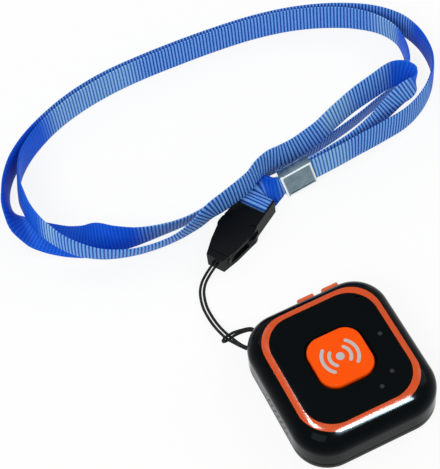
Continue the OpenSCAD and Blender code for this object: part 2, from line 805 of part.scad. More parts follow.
// Round tube along a list of points
module tube(pts, r, sides) {
    rings = [for (i = [0 : len(pts) - 1])
        let (t = tangent(pts, i), a = flat_left(abs(t.z) > 0.95 ? [1, 0, 0] : t), b = cross(t, a))
        [for (k = [0 : sides - 1]) pts[i] + r * (cos(360 * k / sides) * a + sin(360 * k / sides) * b)]];
    skin(rings);
}

// Closed skin over rings of equal counts, with triangles along the sides
module skin(rings) {
    n = len(rings[0]);
    last = len(rings) - 1;
    points = [for (ring = rings) each ring];
    sides = [for (i = [0 : last - 1], k = [0 : n - 1])
        let (a = i * n + k, b = i * n + (k + 1) % n, c = a + n, d = b + n) each [[a, c, b], [b, c, d]]];
    start = [for (k = [1 : n - 2]) [0, k, k + 1]];
    end = [for (k = [1 : n - 2]) [last * n, last * n + k + 1, last * n + k]];
    polyhedron(points = points, faces = concat(sides, start, end), convexity = 10);
}

// Stations with one more between each pair, on a smooth curve through them
function finer(list) = let (last = len(list) - 1) concat(
    [for (i = [0 : last - 1]) each [list[i],
        (9 * (list[i] + list[i + 1]) - list[max(i - 1, 0)] - list[min(i + 2, last)]) / 16]],
    [list[last]]);

// Flat strip along stations, with its width turned by each station's lean
module strip(stations, width, thick, first, last, side_turn) {
    centres = [for (s = stations) place(s)];
    rings = [for (i = [first : last])
        let (t = tangent(centres, i),
             side = is_undef(side_turn) ? flat_left(t) : [cos(side_turn), sin(side_turn), 0],
             rise = cos(stations[i][3]) * [0, 0, 1] + sin(stations[i][3]) * side,
             across = unit(rise - (rise * t) * t),
             out = cross(t, across))
        [for (c = [[-1, -1], [1, -1], [1, 1], [-1, 1]])
            centres[i] + c[0] * across * width / 2 + c[1] * out * thick / 2]];
    skin(rings);
}

// Pieces of the lanyard, beside the eye
module lanyard_at() {
    translate(lanyard_shift) children();
}

// One strand of the doubled cord, to the left or right of its middle line
function strand(side) = [for (i = [0 : len(cord_pair) - 1])
    cord_pair[i] + side * cord_side * flat_left(tangent(cord_pair, i))];
function backwards(list) = [for (i = [len(list) - 1 : -1 : 0]) list[i]];
function round_post(layer) = [for (i = [0 : eye_steps])
    let (turn = eye_turn + 180 + 180 * i / eye_steps)
    [eye_rest.x + eye_ring_r * cos(turn), eye_rest.y + eye_ring_r * sin(turn), eye_z + layer]];
eye_rest = [-nominal_w / 2 + eye_inset.x, nominal_h / 2 - eye_inset.y];
mouth_lead = mouth_lead_l * [-sin(eye_turn), cos(eye_turn), 0];
cord_in = concat([round_post(cord_layer)[0] + mouth_lead], round_post(cord_layer),
                 [round_post(cord_layer)[eye_steps] + mouth_lead]);
cord_back = concat([round_post(-cord_layer)[eye_steps] + mouth_lead], backwards(round_post(-cord_layer)),
                   [round_post(-cord_layer)[0] + mouth_lead]);
cord_line = concat(strand(1), cord_in, cord_bight, cord_back, backwards(strand(-1)));

module strap_cord() {
    color("#101113") lanyard_at() tube(cord_line, cord_d / 2, cord_sides);
}

// Outline of the clip from one distance along its axis to another
module clip_outline() {
    half = [[0, clip_end_half], clip_neck, clip_wide, clip_waist, [clip_l, clip_far_half]];
    polygon(concat(half, [for (i = [len(half) - 1 : -1 : 0]) [half[i].x, -half[i].y]]));
}

// Part of the clip's outline between two distances and two heights
module clip_slice(s0, s1, z0, z1) {
    translate([0, 0, z0]) linear_extrude(z1 - z0) intersection() {
        clip_outline();
        translate([s0, -clip_l]) square([s1 - s0, 2 * clip_l]);
    }
}

module clip_at() {
    lanyard_at() translate([clip_spot.x, clip_spot.y, 0]) rotate([0, 0, clip_turn]) children();
}

module clip_plug() {
    tongue_low = clip_plate_t + clip_gap;
    tongue_high = clip_t - clip_plate_t - clip_gap;
    color("#17181b") clip_at() difference() {
        union() {
            clip_slice(0, clip_base_l, 0, clip_t);
            translate([0, 0, tongue_low]) linear_extrude(tongue_high - tongue_low) {
                translate([clip_base_l - bite, -clip_prong_half]) square([clip_prong_l, 2 * clip_prong_half]);
                for (side = [-1, 1])
                    translate([clip_bump_spot.x, side * clip_bump_spot.y]) circle(clip_bump_r);
            }
        }
        translate([clip_slit_start, -clip_slit_half, 0]) cube([clip_l, 2 * clip_slit_half, clip_t]);
        for (side = [-1, 1])
            translate([-past, side * cord_side, clip_t / 2]) rotate([0, 90, 0])
                cylinder(h = cord_hole_depth + past, d = cord_d + 2 * cord_fit);
    }
}

module clip_socket() {
    bar_start = clip_l - clip_bar_w;
    color("#17181b") clip_at() difference() {
        clip_slice(clip_base_l + clip_gap, clip_l, 0, clip_t);
        translate([0, -clip_l, clip_plate_t]) cube([clip_slot_end, 2 * clip_l, clip_t - 2 * clip_plate_t]);
        translate([bar_start - clip_ribbon_gap, -clip_ribbon_half, -past])
            cube([clip_ribbon_gap, 2 * clip_ribbon_half, clip_t + 2 * past]);
        for (z = [-past, clip_t - clip_bar_cut])
            translate([bar_start - bite, -clip_ribbon_half, z])
                cube([clip_bar_w + past, 2 * clip_ribbon_half, clip_bar_cut + past]);
        for (side = [-1, 1])
            translate([clip_dimple_spot.x, side * clip_dimple_spot.y, clip_t - clip_dimple_t])
                cylinder(h = past, r = clip_dimple_r);
    }
}

// Direction across the clip, in which the tab's width lies
tab_side = clip_turn + 90;

module ribbon_tab() {
    color("#1f4fc4") lanyard_at() strip(tab_route, tab_w, ribbon_t, 0, len(tab_route) - 1, tab_side);
}

module ribbon_crimp() {
    panel_h = crimp_out.y - 2 * crimp_rim;
    color("#c8ccd0") lanyard_at() translate(crimp_spot) rotate([0, -crimp_pitch, crimp_turn]) difference() {
        union() {
            cube([crimp_l, crimp_out.x, crimp_out.y], center = true);
            translate([(crimp_lip_l - crimp_l) / 2, 0, crimp_lip / 2])
                cube([crimp_lip_l, crimp_out.x + 2 * crimp_lip, crimp_out.y + crimp_lip], center = true);
        }
        cube([2 * crimp_l, crimp_out.x - 2 * crimp_t, crimp_out.y - 2 * crimp_t], center = true);
        for (side = [-1, 1])
            translate([crimp_lip_l, side * (crimp_out.x / 2 + past - crimp_panel_t), 0])
                cube([crimp_l - crimp_rim, 2 * past, panel_h], center = true);
    }
}

module ribbon_outer() {
    color("#1f4fc4") lanyard_at() strip(finer(ribbon_route), ribbon_w, ribbon_t, 0, 2 * ribbon_joint);
}

module ribbon_inner() {
    color("#1f4fc4") lanyard_at()
        strip(finer(ribbon_route), ribbon_w, ribbon_t, 2 * ribbon_joint, 2 * len(ribbon_route) - 2);
}

front_shell();
rear_shell();
accent_ring();
alarm_button();
alarm_switch();
alarm_switch_stem();
power_key();
call_key();
power_switch();
call_switch();
power_switch_stem();
call_switch_stem();
light_guide_a();
light_guide_b();
light_guide_c();
status_leds();
main_board();
position_antenna();
radio_module();
cell_antenna();
battery();
battery_pad();
speaker();
speaker_mesh();
microphone();
microphone_boot();
usb_socket();
card_holder();
port_door();
case_seal();
case_screws();
strap_cord();
clip_plug();
clip_socket();
ribbon_tab();
ribbon_crimp();
ribbon_outer();
ribbon_inner();
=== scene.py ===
# %% [markdown]
# A personal tracker lies on its back on a white table, with its cord, release clip and neck ribbon.
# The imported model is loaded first, as a fixed frame: every piece that follows sits in that frame, in metres.

# %% Load the frame
import math
import bmesh
import bpy
import numpy as np
from mathutils import Matrix, Vector


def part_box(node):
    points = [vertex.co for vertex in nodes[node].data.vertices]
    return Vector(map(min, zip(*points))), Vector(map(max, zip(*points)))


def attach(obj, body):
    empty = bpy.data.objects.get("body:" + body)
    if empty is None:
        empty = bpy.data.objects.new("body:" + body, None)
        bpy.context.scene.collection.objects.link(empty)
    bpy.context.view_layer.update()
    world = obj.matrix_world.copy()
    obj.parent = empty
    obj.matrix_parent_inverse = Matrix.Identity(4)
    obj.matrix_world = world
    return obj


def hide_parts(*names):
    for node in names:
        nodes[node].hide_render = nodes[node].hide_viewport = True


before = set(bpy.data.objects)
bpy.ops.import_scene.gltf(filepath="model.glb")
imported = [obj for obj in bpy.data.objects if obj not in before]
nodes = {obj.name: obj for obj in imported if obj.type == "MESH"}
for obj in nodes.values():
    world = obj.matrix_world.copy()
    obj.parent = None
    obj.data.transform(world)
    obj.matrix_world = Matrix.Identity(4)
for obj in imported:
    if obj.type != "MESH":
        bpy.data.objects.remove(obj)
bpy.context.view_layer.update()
scene = bpy.context.scene
MM = 0.001

# %% [markdown]
# The camera stands where the photograph was taken: above and to the left of the case, slightly rolled.
# The angles and the distance come from matching the outline of the case, its ring and its button.
# A long lens keeps the case nearly square, as it is in the photograph.

# %% Camera
IMAGE_H = 469
VIEW_AZIMUTH = math.radians(-18.16)
VIEW_ELEVATION = math.radians(56.65)
VIEW_ROLL = math.radians(-8.85)
FOCAL_PIXELS = 1487.48
VIEW_DISTANCE = 399.46 * MM
VIEW_SIDE = -32.557 * MM
VIEW_UP = 39.941 * MM
SENSOR = 36.0

level = Vector((math.cos(VIEW_AZIMUTH), math.sin(VIEW_AZIMUTH), 0))
back = Vector((math.sin(VIEW_AZIMUTH) * math.cos(VIEW_ELEVATION),
               -math.cos(VIEW_AZIMUTH) * math.cos(VIEW_ELEVATION),
               math.sin(VIEW_ELEVATION)))
upright = back.cross(level)
across = level * math.cos(VIEW_ROLL) + upright * math.sin(VIEW_ROLL)
above = upright * math.cos(VIEW_ROLL) - level * math.sin(VIEW_ROLL)
eye = back * VIEW_DISTANCE + across * VIEW_SIDE + above * VIEW_UP

camera_data = bpy.data.cameras.new("camera")
camera_data.sensor_width = SENSOR
camera_data.lens = FOCAL_PIXELS / IMAGE_H * SENSOR
camera_data.clip_start = 0.01
camera = bpy.data.objects.new("camera", camera_data)
turned = Matrix((across, above, back)).transposed().to_4x4()
camera.matrix_world = Matrix.Translation(eye) @ turned
scene.collection.objects.link(camera)
scene.camera = camera
print("camera at", [round(v, 3) for v in eye], "lens", round(camera_data.lens, 1))

# %% [markdown]
# The ribbon and the cord are soft, and each follows a route of listed points.
# A route could be a curve object, but a flat woven strap also leans and twists, so each point carries a lean.
# The helper runs a smooth line through the points, with the same spacing all along, ready to be skinned.


# %% Smooth route
def smooth_route(stations, step, start=0, end=None):
    """Evenly spaced rows on a smooth line through the stations; the last column is the station number."""
    rows = np.column_stack([np.array(stations, dtype=float), np.arange(len(stations))])
    last = len(rows) - 1 if end is None else end
    gaps = np.linalg.norm(np.diff(rows[:, :3], axis=0), axis=1)
    knots = np.concatenate([[0.0], np.cumsum(gaps)])
    slopes = np.empty_like(rows)
    slopes[1:-1] = (rows[2:] - rows[:-2]) / (knots[2:] - knots[:-2])[:, None]
    slopes[0] = (rows[1] - rows[0]) / gaps[0]
    slopes[-1] = (rows[-1] - rows[-2]) / gaps[-1]
    count = max(2, int(round((knots[last] - knots[start]) / step)) + 1)
    places = np.linspace(knots[start], knots[last], count)
    span = np.clip(np.searchsorted(knots, places, side="right") - 1, 0, len(gaps) - 1)
    size = gaps[span][:, None]
    t = ((places - knots[span]) / gaps[span])[:, None]
    return ((2 * t**3 - 3 * t**2 + 1) * rows[span] + (t**3 - 2 * t**2 + t) * size * slopes[span]
            + (3 * t**2 - 2 * t**3) * rows[span + 1] + (t**3 - t**2) * size * slopes[span + 1])


def line_tangents(points):
    """Unit direction of travel at each point."""
    ahead = np.gradient(points, axis=0)
    return ahead / np.linalg.norm(ahead, axis=1)[:, None]


def line_length(points):
    """Length of a line through the points."""
    return float(np.linalg.norm(np.diff(points, axis=0), axis=1).sum())


print("route helpers ready")

# %% [markdown]
# A skin joins rings of points into a closed mesh. Each point also keeps marks, such as how far it lies along
# the piece and where it lies across it, in metres, so that a weave can follow the strap round every bend.


# %% Skin over rings
def skin(name, rings, ring_marks, corner_marks):
    """Mesh object over rings of equal counts, with marks kept on its points: one value a ring or a corner."""
    rows, count = len(rings), len(rings[0])
    mesh = bpy.data.meshes.new(name)
    verts = np.asarray(rings).reshape(-1, 3)
    faces = []
    for i in range(rows - 1):
        for k in range(count):
            n = (k + 1) % count
            faces.append((i * count + k, i * count + n, (i + 1) * count + n, (i + 1) * count + k))
    faces.append(tuple(reversed(range(count))))
    faces.append(tuple(range((rows - 1) * count, rows * count)))
    mesh.from_pydata(verts.tolist(), [], faces)
    marks = {mark: np.repeat(values, count) for mark, values in ring_marks.items()}
    marks.update({mark: np.tile(values, rows) for mark, values in corner_marks.items()})
    for mark, values in marks.items():
        mesh.attributes.new(mark, "FLOAT", "POINT").data.foreach_set("value", values)
    mesh.shade_smooth()
    mesh.update()
    piece = bpy.data.objects.new(name, mesh)
    scene.collection.objects.link(piece)
    return piece


print("skin helper ready")

# %% [markdown]
# The neck ribbon is a grosgrain weave: thick weft threads make a row of ribs across it, about one to the
# millimetre, between two firm selvedges. The ribs could be a bump in the material alone, but real ribs keep
# their look on the silhouette and in other renderers, so the skin swells at each rib.

# %% Ribbon section
RIBBON_W = 9.9 * MM
TAB_W = 8.7 * MM
RIBBON_T = 0.8 * MM
RIB_PITCH = 1.05 * MM
RIB_SWELL = 0.28
RIB_MIDDLE = 0.7
RIBS_STEP = RIB_PITCH / 5
SECTION_U = [-1, -0.97, -0.9, -0.5, 0, 0.5, 0.9, 0.97, 1]
SECTION_POWER = 6
SOFT_END = 0.6


def soft_stretches(number, stretches):
    """1 within the stretches between two station numbers, 0 elsewhere, with soft ends."""
    inside = np.zeros(len(number))
    for first, last in stretches:
        inside = np.maximum(inside, np.clip(np.minimum(number - first, last - number) / SOFT_END + 0.5, 0, 1))
    return inside


def ribbon_piece(name, rows, width, satin, pale, side=None):
    """Woven strap along rows of x, y, z and lean; side fixes the way its width turns from upright."""
    centre = rows[:, :3] * MM
    lean = np.radians(rows[:, 3])[:, None]
    ahead = line_tangents(centre)
    if side is None:
        left = np.stack([-ahead[:, 1], ahead[:, 0], np.zeros(len(ahead))], axis=1)
        left /= np.linalg.norm(left, axis=1)[:, None]
    else:
        left = np.tile(side, (len(ahead), 1))
    rise = np.cos(lean) * np.array([0, 0, 1.0]) + np.sin(lean) * left
    rise -= (rise * ahead).sum(axis=1)[:, None] * ahead
    rise /= np.linalg.norm(rise, axis=1)[:, None]
    out = np.cross(ahead, rise)
    along = np.concatenate([[0], np.cumsum(np.linalg.norm(np.diff(centre, axis=0), axis=1))])
    # Stretches where the light falls along the ribs are painted plain satin, with flattened ribs.
    flat_lit_mark = soft_stretches(rows[:, 4], satin)
    rib = 1 + RIB_SWELL * (1 - flat_lit_mark) * (np.abs(np.sin(np.pi * along / RIB_PITCH)) - RIB_MIDDLE)
    flat = [(u, (1 - abs(u) ** SECTION_POWER) ** 0.5) for u in SECTION_U]
    loop = flat + [(u, -t) for u, t in reversed(flat[1:-1])]
    rings = np.stack([centre + rise * (u * width / 2) + out * (t * rib * RIBBON_T / 2)[:, None]
                      for u, t in loop], axis=1)
    piece = skin(name, rings, {"along": along, "flat_lit_mark": flat_lit_mark, "pale": soft_stretches(rows[:, 4], pale)},
                 {"across": np.array([u * width / 2 for u, t in loop])})
    print(name, "length", round(along[-1], 4), "m, rings", len(rings))
    return piece, centre


# %% [markdown]
# The ribbon's route, in millimetres: place, height of its middle, and lean of its top edge to the left.
# It leaves the crimp, runs once round outside, rolls over flat on the left and slips under itself, so that
# its leans carry half a turn from there on. It runs once round inside, over the clip, and loops back to the
# crimp. These are the points of the solid model, so the woven piece lies where its solid lies. Two lists of
# station numbers name the stretches painted as plain satin, where the light falls along the ribs, and those
# with a painted pale sheen, where the ribs catch the light.

# %% Ribbon route
RIBBON_ROUTE = [
    [18.8, 61.4, 6.5, 0], [23.8, 61.3, 7.47, 0], [31.3, 61.3, 8.3, 0], [38.2, 61.8, 8.6, 0],
    [47, 62.9, 8.1, 0], [56.6, 64.8, 7.4, 0], [63.8, 68.3, 7.1, 0], [69.5, 73.2, 6.9, 0],
    [73.3, 79, 6.3, 0], [75, 85.7, 5.8, 0], [75.1, 92.3, 5.3, 0], [73.2, 98.8, 5.1, 0],
    [68.5, 105, 5.05, 0], [62, 110, 5.05, 0], [53, 114.8, 5.05, 0], [43, 118.4, 5.05, 0],
    [32, 120.8, 5.05, 0], [20, 122.2, 5.05, 0], [8, 123, 5.05, 0], [-4, 123.3, 5.05, 0],
    [-16, 122.9, 5.05, 0], [-27, 121, 5.05, 0], [-37, 117.6, 5.05, 0], [-46, 113, 5.05, 0],
    [-52.6, 107.8, 5.05, 0], [-57, 102, 5.05, 0], [-59.2, 96.4, 5.05, -6], [-59.6, 91.8, 4.8, -24],
    [-58.4, 87.6, 3.2, -56], [-55.6, 84, 1.5, -82], [-52.4, 80.6, 1.2, -92], [-48.6, 77.2, 1.4, -97],
    [-44.6, 74.3, 2.2, -108], [-40.4, 71.5, 4, -136], [-35.9, 68.6, 5, -163], [-30.5, 66.5, 5.05, -182],
    [-24, 65.2, 5, -194], [-17, 64.5, 4.95, -200], [-11, 64.8, 4.95, -200], [-4, 66.1, 4.95, -198],
    [3.5, 68, 5, -196], [10, 68.9, 5, -194], [16, 69, 5, -194], [22, 69.1, 5, -194],
    [28, 69.5, 5, -194], [33.3, 70.2, 5, -196], [39, 71.4, 5, -196], [45, 72.9, 5, -196],
    [51, 74.8, 5, -196], [57, 76.5, 5, -196], [62, 78.4, 5, -192], [65.8, 81.3, 5.05, -188],
    [68.2, 85.3, 5.05, -184], [69.8, 90.3, 5.05, -178], [69.9, 96, 5.05, -174], [67.4, 101.8, 5.05, -174],
    [62, 107.6, 5.05, -178], [56, 111.6, 5.05, -180], [49, 115, 5.05, -180], [41, 117.7, 5.05, -180],
    [31, 119.8, 5.05, -180], [20, 121, 5.05, -180], [8, 121.7, 5.05, -180], [-4, 122, 5.05, -180],
    [-15, 121.5, 5.05, -180], [-26, 119.7, 5.05, -180], [-36, 116.5, 5.05, -180], [-44, 112.2, 5.05, -180],
    [-49.5, 107.6, 5.1, -178], [-53, 102, 5.8, -172], [-54.6, 96.6, 6.9, -168], [-55.1, 91.4, 8.3, -168],
    [-55.1, 86.2, 9, -170], [-54.2, 81.2, 9, -173], [-52.4, 76.5, 8.7, -177], [-49.9, 72, 8.1, -182],
    [-46.2, 68, 7.2, -188], [-41.2, 64.6, 6.2, -196], [-34.6, 62.2, 5.3, -202], [-27.5, 60.9, 4.95, -204],
    [-20, 60.4, 5.5, -202], [-14, 60.4, 7.6, -194], [-9, 60.8, 10.2, -186], [-4, 61.3, 11.4, -182],
    [3.8, 63, 12.5, -180], [8, 65, 13.3, -180], [12, 66.3, 13.4, -180], [16, 66.4, 13.3, -179],
    [20, 66.2, 13.8, -178], [24, 66.3, 14.8, -177], [28.5, 66.6, 16.2, -176], [33.5, 67.7, 17.9, -175],
    [41.1, 69.6, 19.2, -174], [48.2, 70.9, 19.8, -172], [55, 72.1, 19.9, -170], [58.4, 71.2, 19.6, -171],
    [60.4, 69.2, 19, -174], [60.4, 67.6, 18.6, -178], [58.6, 66.8, 17.8, -180], [55, 66.6, 16.3, -180],
    [50.2, 65.9, 13.8, -180], [44, 64.4, 11.3, -180], [37, 63.1, 9.5, -180], [30, 62.5, 8.5, -180],
    [23.8, 62.3, 7.47, -180], [18.8, 62.4, 6.5, -180],
]
RIBBON_JOINT = 52
# Stretches painted as plain satin where the light falls along the ribs, then stretches with a painted pale
# sheen.
FLAT_LIT_STATIONS = [(6.6, 10.2), (22.3, 35.2), (51, 53.6), (66.3, 73.3), (93.9, 97.6)]
PALE_STATIONS = [(0.8, 2.6), (27.3, 29.8), (35.8, 38.2), (53.8, 55.2), (63.2, 66), (73.6, 74.4), (90.4, 91.9)]
rib_step = RIBS_STEP / MM
outer_rows = smooth_route(RIBBON_ROUTE, rib_step, 0, RIBBON_JOINT)
inner_rows = smooth_route(RIBBON_ROUTE, rib_step, RIBBON_JOINT)
outer_turn, outer_line = ribbon_piece("neck_ribbon_outer_turn", outer_rows, RIBBON_W,
                                       FLAT_LIT_STATIONS, PALE_STATIONS)
inner_turn, inner_line = ribbon_piece("neck_ribbon_inner_turn", inner_rows, RIBBON_W,
                                       FLAT_LIT_STATIONS, PALE_STATIONS)

# %% [markdown]
# The tab is a short loop of the same ribbon. It leaves the crimp upright, turns flat, goes round the bar of
# the clip and comes back. Its width always lies across the clip, so the side is fixed and not taken from
# the route.

# %% Ribbon tab
CLIP_TURN = math.radians(33)
TAB_ROUTE = [
    [18.3, 61.41, 6.4, 0], [13.4, 61.51, 5.45, 0], [11.7, 61.7, 5.3, 28], [10, 62.6, 5.1, 64],
    [7.8, 62.9, 4.8, 91], [5.6, 61.6, 4.6, 90], [3.9, 60.5, 4.5, 90], [3.3, 60.1, 2.8, 90],
    [3.9, 60.5, 1.1, 90], [5.6, 61.6, 1, 90], [7.6, 62.9, 0.95, 90], [9.8, 63.6, 2.5, 64],
    [11.8, 63.2, 4.5, 30], [13.4, 62.51, 5.45, 0], [18.3, 62.41, 6.4, 0],
]
clip_side = np.array([-math.sin(CLIP_TURN), math.cos(CLIP_TURN), 0])
# Tab stretches painted as plain satin, where the light falls along the ribs.
TAB_FLAT_LIT = [(1.3, 3.6), (10.4, 12.6)]
ribbon_tab, tab_line = ribbon_piece("clip_tab_loop", smooth_route(TAB_ROUTE, rib_step), TAB_W,
                                    TAB_FLAT_LIT, [], clip_side)

# %% [markdown]
# The thin cord is doubled: both ends sit in the clip's plug, and its middle is hitched through the eye.
# Its line is one strand down, a half turn round the eye's post, a bight over both strands, and the way back.

# %% Cord route
CORD_D = 0.8
CORD_SIDE = 0.55
CORD_LAYER = 0.5
EYE_CENTRE = np.array([-16.5, 19.5, 7.0])
EYE_RADIUS = 2.8
EYE_TURN = math.radians(37.7)
EYE_STEPS = 6
MOUTH_LEAD = 1.8 * np.array([-math.sin(EYE_TURN), math.cos(EYE_TURN), 0])
CORD_PAIR = np.array([
    [-14, 48.9, 2.8], [-15.2, 48.1, 2.7], [-17.2, 47.2, 1.7], [-19.2, 45.9, 0.8], [-20.7, 44, 0.5],
    [-21.7, 41.6, 0.5], [-22.4, 38.4, 0.5], [-22.5, 34.8, 0.7], [-22.3, 31.4, 1.3], [-21.9, 28.2, 2.3],
    [-21.3, 25.2, 3.4],
])
CORD_BIGHT = np.array([
    [-17.4, 24.4, 5.6], [-19.6, 25.3, 4.6], [-20.6, 25.3, 4.5], [-22, 25.1, 4.5], [-22.9, 24.9, 4],
    [-23.1, 24.9, 3.4], [-22.9, 24.9, 2.8], [-22, 25.1, 2.3], [-20.6, 25.3, 2.3], [-19.6, 25.3, 2.8],
    [-17.4, 24.4, 4.4],
])


def strand(side):
    """One strand of the doubled cord, to the left or right of the pair's middle line."""
    ahead = np.vstack([CORD_PAIR[1:], CORD_PAIR[-1:]]) - np.vstack([CORD_PAIR[:1], CORD_PAIR[:-1]])
    left = np.stack([-ahead[:, 1], ahead[:, 0], np.zeros(len(ahead))], axis=1)
    return CORD_PAIR + side * CORD_SIDE * left / np.linalg.norm(left, axis=1)[:, None]


def round_post(layer):
    """Half turn of the cord round the post of the eye."""
    turns = EYE_TURN + np.pi + np.linspace(0, np.pi, EYE_STEPS + 1)
    circle = np.stack([np.cos(turns), np.sin(turns), np.zeros(len(turns))], axis=1) * EYE_RADIUS
    half = EYE_CENTRE + circle + np.array([0, 0, layer])
    return np.vstack([half[0] + MOUTH_LEAD, half, half[-1] + MOUTH_LEAD])


cord_points = np.vstack([strand(1), round_post(CORD_LAYER), CORD_BIGHT,
                         round_post(-CORD_LAYER)[::-1], strand(-1)[::-1]])
print("cord route of", len(cord_points), "points")

# %% [markdown]
# A round cord needs rings that don't twist, so each ring's side is carried on from the one before it.
# Its skin is lightly pinched along two crossing helices, which is what a braid of fine yarns looks like.

# %% Cord
CORD_SIDES = 12
BRAID_PITCH = 1.6
BRAID_PINCH = 0.05


def cord_piece(name, points, diameter):
    """Round braided cord along the points, in millimetres."""
    line = smooth_route(np.hstack([points, np.zeros((len(points), 1))]), BRAID_PITCH / 8)[:, :3]
    ahead = line_tangents(line)
    turns = np.linspace(0, 2 * np.pi, CORD_SIDES, endpoint=False)
    along = np.concatenate([[0], np.cumsum(np.linalg.norm(np.diff(line, axis=0), axis=1))])
    side = np.cross(ahead[0], [0, 0, 1.0])
    rings = []
    for place, way, far in zip(line, ahead, along):
        side = side - np.dot(side, way) * way
        side = side / np.linalg.norm(side)
        other = np.cross(way, side)
        phase = 2 * np.pi * far / BRAID_PITCH
        swell = 1 + BRAID_PINCH * np.sin(phase + 3 * turns) * np.sin(phase - 3 * turns)
        ring = np.cos(turns)[:, None] * side + np.sin(turns)[:, None] * other
        rings.append((place + ring * (diameter / 2 * swell)[:, None]) * MM)
    piece = skin(name, np.array(rings), {"along": along * MM}, {"across": turns * diameter / 2 * MM})
    print(name, "length", round(along[-1] * MM, 4), "m")
    return piece, line * MM


thin_cord, cord_line = cord_piece("hitched_cord", cord_points, CORD_D)

# %% [markdown]
# Each soft piece replaces its solid and moves with the same body.
# The ribbon and nearly all of the cord are seen in the photograph, so their lengths follow from the same
# scale as the case.


for piece, node, body, slot in ((outer_turn, "ribbon_outer", "lanyard", "ribbon_weave"),
                                (inner_turn, "ribbon_inner", "lanyard", "ribbon_weave"),
                                (ribbon_tab, "ribbon_tab", "lanyard", "ribbon_weave"),
                                (thin_cord, "strap_cord", "case", "cord_yarn")):
    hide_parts(node)
    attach(piece, body)

print("ribbon", round(line_length(outer_line) + line_length(inner_line), 3), "m in two turns")

# %% [markdown]
# Every finish below is built from shader nodes. Colours are written as sRGB hex values, as a designer would
# read them off a sample, and one function turns them to the linear light that a renderer works in.
# One more function adds a node: its settings are given by name, and each input is a value or a link.
# Four short ones on top of it cover what most finishes need: sums, blends of two colours, ranges and noise.


# %% Colour and node helpers
def linear(code):
    """Linear colour of an sRGB hex value such as #15171A."""
    parts = [int(code[i:i + 2], 16) / 255 for i in (1, 3, 5)]
    return [c / 12.92 if c <= 0.04045 else ((c + 0.055) / 1.055) ** 2.4 for c in parts] + [1.0]


def add(tree, kind, settings=None, inputs=None):
    """A new node of that kind, with its settings and its inputs set or linked."""
    node = tree.nodes.new(kind)
    for key, value in (settings or {}).items():
        setattr(node, key, value)
    for key, value in (inputs or {}).items():
        if isinstance(value, bpy.types.NodeSocket):
            tree.links.new(value, node.inputs[key])
        else:
            node.inputs[key].default_value = value
    return node


def maths(tree, operation, *values, clamp=False):
    """Result of a sum on values or links."""
    settings = {"operation": operation, "use_clamp": clamp}
    return add(tree, "ShaderNodeMath", settings, dict(enumerate(values))).outputs[0]


def blend(tree, share, first, second):
    """Colour between two colours, each a hex value or a link."""
    pair = [linear(c) if isinstance(c, str) else c for c in (first, second)]
    return add(tree, "ShaderNodeMixRGB", None,
               {"Fac": share, "Color1": pair[0], "Color2": pair[1]}).outputs["Color"]


def ranged(tree, value, low, high, least=0.0, most=1.0):
    """A value from low to high, spread from least to most."""
    return add(tree, "ShaderNodeMapRange", None,
               {"Value": value, "From Min": low, "From Max": high,
                "To Min": least, "To Max": most}).outputs["Result"]


def noise(tree, place, size, detail):
    """Soft noise with features of that size, in metres."""
    return add(tree, "ShaderNodeTexNoise", None,
               {"Vector": place, "Scale": 1 / size, "Detail": detail}).outputs["Fac"]


def new_finish(name):
    """Empty material with its output and main shader joined."""
    finish = bpy.data.materials.new(name)
    finish.use_nodes = True
    tree = finish.node_tree
    tree.nodes.clear()
    shader = add(tree, "ShaderNodeBsdfPrincipled")
    add(tree, "ShaderNodeOutputMaterial", None, {"Surface": shader.outputs["BSDF"]})
    return finish, tree, shader


print("black case colour in linear light", [round(v, 4) for v in linear("#0A0C0E")])

# %% [markdown]
# Most hard pieces here are moulded or pressed, and their finishes differ in the same few ways: two close
# shades that cloud into each other, a grain of a known size, and a gloss that varies with it.
# One function makes such a finish, so that each material below is a short list of real numbers.


# %% Grained finish
GRAIN_LOW = 0.3
GRAIN_HIGH = 0.7


def grained(name, deep, pale, grain_mm, gloss, bump_mm=0.0, metallic=0.0, cloud_mm=8.0, ior=1.5,
            specular=0.5):
    """Finish with two shades, a grain of that size, roughness from low to high, and a fine relief."""
    finish, tree, shader = new_finish(name)
    place = add(tree, "ShaderNodeTexCoord").outputs["Object"]
    cloud = noise(tree, place, cloud_mm * MM, 3.0)
    grain = noise(tree, place, grain_mm * MM, 4.0)
    shade = blend(tree, cloud, deep, pale)
    rough = ranged(tree, grain, GRAIN_LOW, GRAIN_HIGH, *gloss)
    tree.links.new(shade, shader.inputs["Base Color"])
    tree.links.new(rough, shader.inputs["Roughness"])
    if bump_mm:
        relief = add(tree, "ShaderNodeBump", None,
                     {"Height": grain, "Strength": 1.0, "Distance": bump_mm * MM})
        tree.links.new(relief.outputs["Normal"], shader.inputs["Normal"])
    shader.inputs["Metallic"].default_value = metallic
    if not metallic:
        shader.inputs["IOR"].default_value = ior
        shader.inputs["Specular IOR Level"].default_value = specular
    return finish


def main_shader(finish):
    """The main shader of a finish."""
    return finish.node_tree.nodes["Principled BSDF"]


def dress(finish, *names):
    """Gives the finish to CAD pieces."""
    for name in names:
        slots = nodes[name].data.materials
        slots.clear()
        slots.append(finish)
    print(finish.name, "on", ", ".join(names))


print("finish helpers ready")

# %% [markdown]
# The case is ABS from a polished mould: nearly black, with a deep gloss that turns soft lamps into smooth
# bands. Moulded gloss is never a perfect mirror, so the finish has a faint ripple and very fine haze.

# %% Case finish
case_abs = grained("polished_black_abs", "#040506", "#070A0B", 0.6, (0.1, 0.16), bump_mm=0.0008,
                   cloud_mm=14.0, ior=1.52, specular=0.05)
# The reflections are tinted teal grey: a painted reflection colour.
main_shader(case_abs).inputs["Specular Tint"].default_value = linear("#B4D2DC")
dress(case_abs, "front_shell", "rear_shell")

# %% [markdown]
# The accent ring and the keys are ABS too, coloured through and moulded with a gloss.
# The call button is a brighter orange with a finer satin gloss, so that it shows no hard mirror of the lamps.

